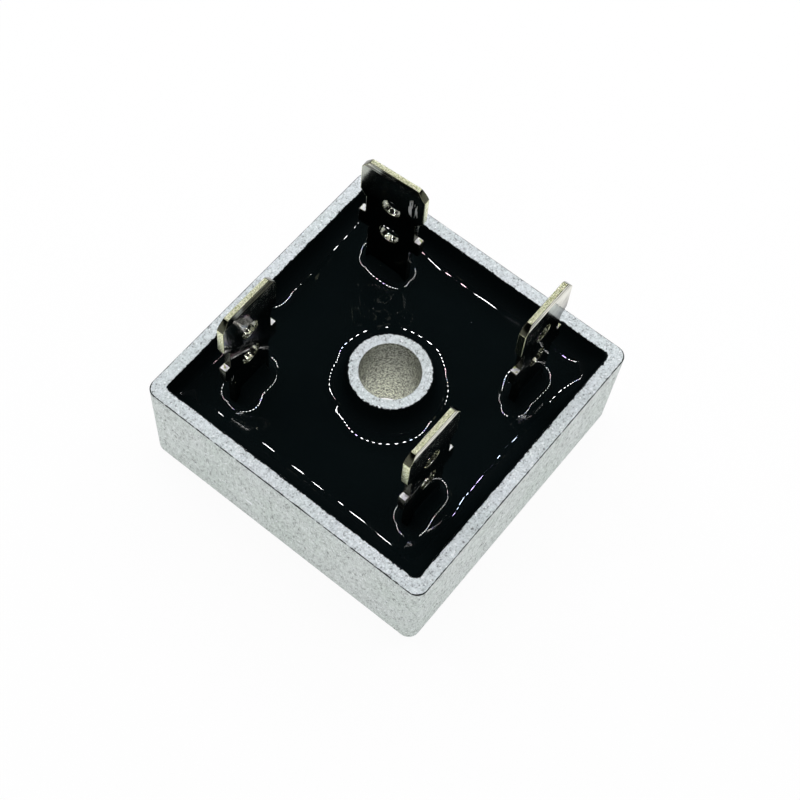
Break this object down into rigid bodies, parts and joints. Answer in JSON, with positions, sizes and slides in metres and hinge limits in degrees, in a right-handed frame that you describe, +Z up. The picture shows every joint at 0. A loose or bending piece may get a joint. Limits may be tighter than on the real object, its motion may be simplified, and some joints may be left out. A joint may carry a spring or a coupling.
{
  "type": "bridge rectifier",
  "caption": "Square metal-cased bridge rectifier with a central screw boss, black potting and upright quick-connect tabs.",
  "frame": {"origin": "centre of the base, on the axis of the screw hole", "axes": "+Z up along the screw hole and the tabs; +X towards the wall nearest the positive tab's flat back; +Y towards the wall behind the left a.c. tab"},
  "size_m": [0.0286, 0.0286, 0.0217],
  "materials": {
    "cast_case": "fine grit-blasted die casting, light grey, matt",
    "resin": "glossy near-black potting resin",
    "plated_tab": "bright nickel-tin plating, slightly yellow at the cut edges",
    "copper": "bare rolled copper",
    "silicon": "dark grey, smooth",
    "solder": "dull silver solder",
    "insulation": "matt pale tan sheet"
  },
  "bodies": {
    "root": {"case": "cast_case", "base_insulation": "insulation", "potting": "resin", "tab_positive": "plated_tab", "tab_ac_left": "plated_tab", "tab_negative": "plated_tab", "tab_ac_right": "plated_tab", "lead_frame_positive": "copper", "lead_frame_ac_left": "copper", "lead_frame_negative": "copper", "lead_frame_ac_right": "copper", "die_right": "silicon", "die_back": "silicon", "die_left": "silicon", "die_front": "silicon", "lower_solder_right": "solder", "lower_solder_back": "solder", "lower_solder_left": "solder", "lower_solder_front": "solder", "upper_solder_right": "solder", "upper_solder_back": "solder", "upper_solder_left": "solder", "upper_solder_front": "solder", "foot_solder_positive": "solder", "foot_solder_ac_left": "solder", "foot_solder_negative": "solder", "foot_solder_ac_right": "solder"}
  },
  "joints": []
}
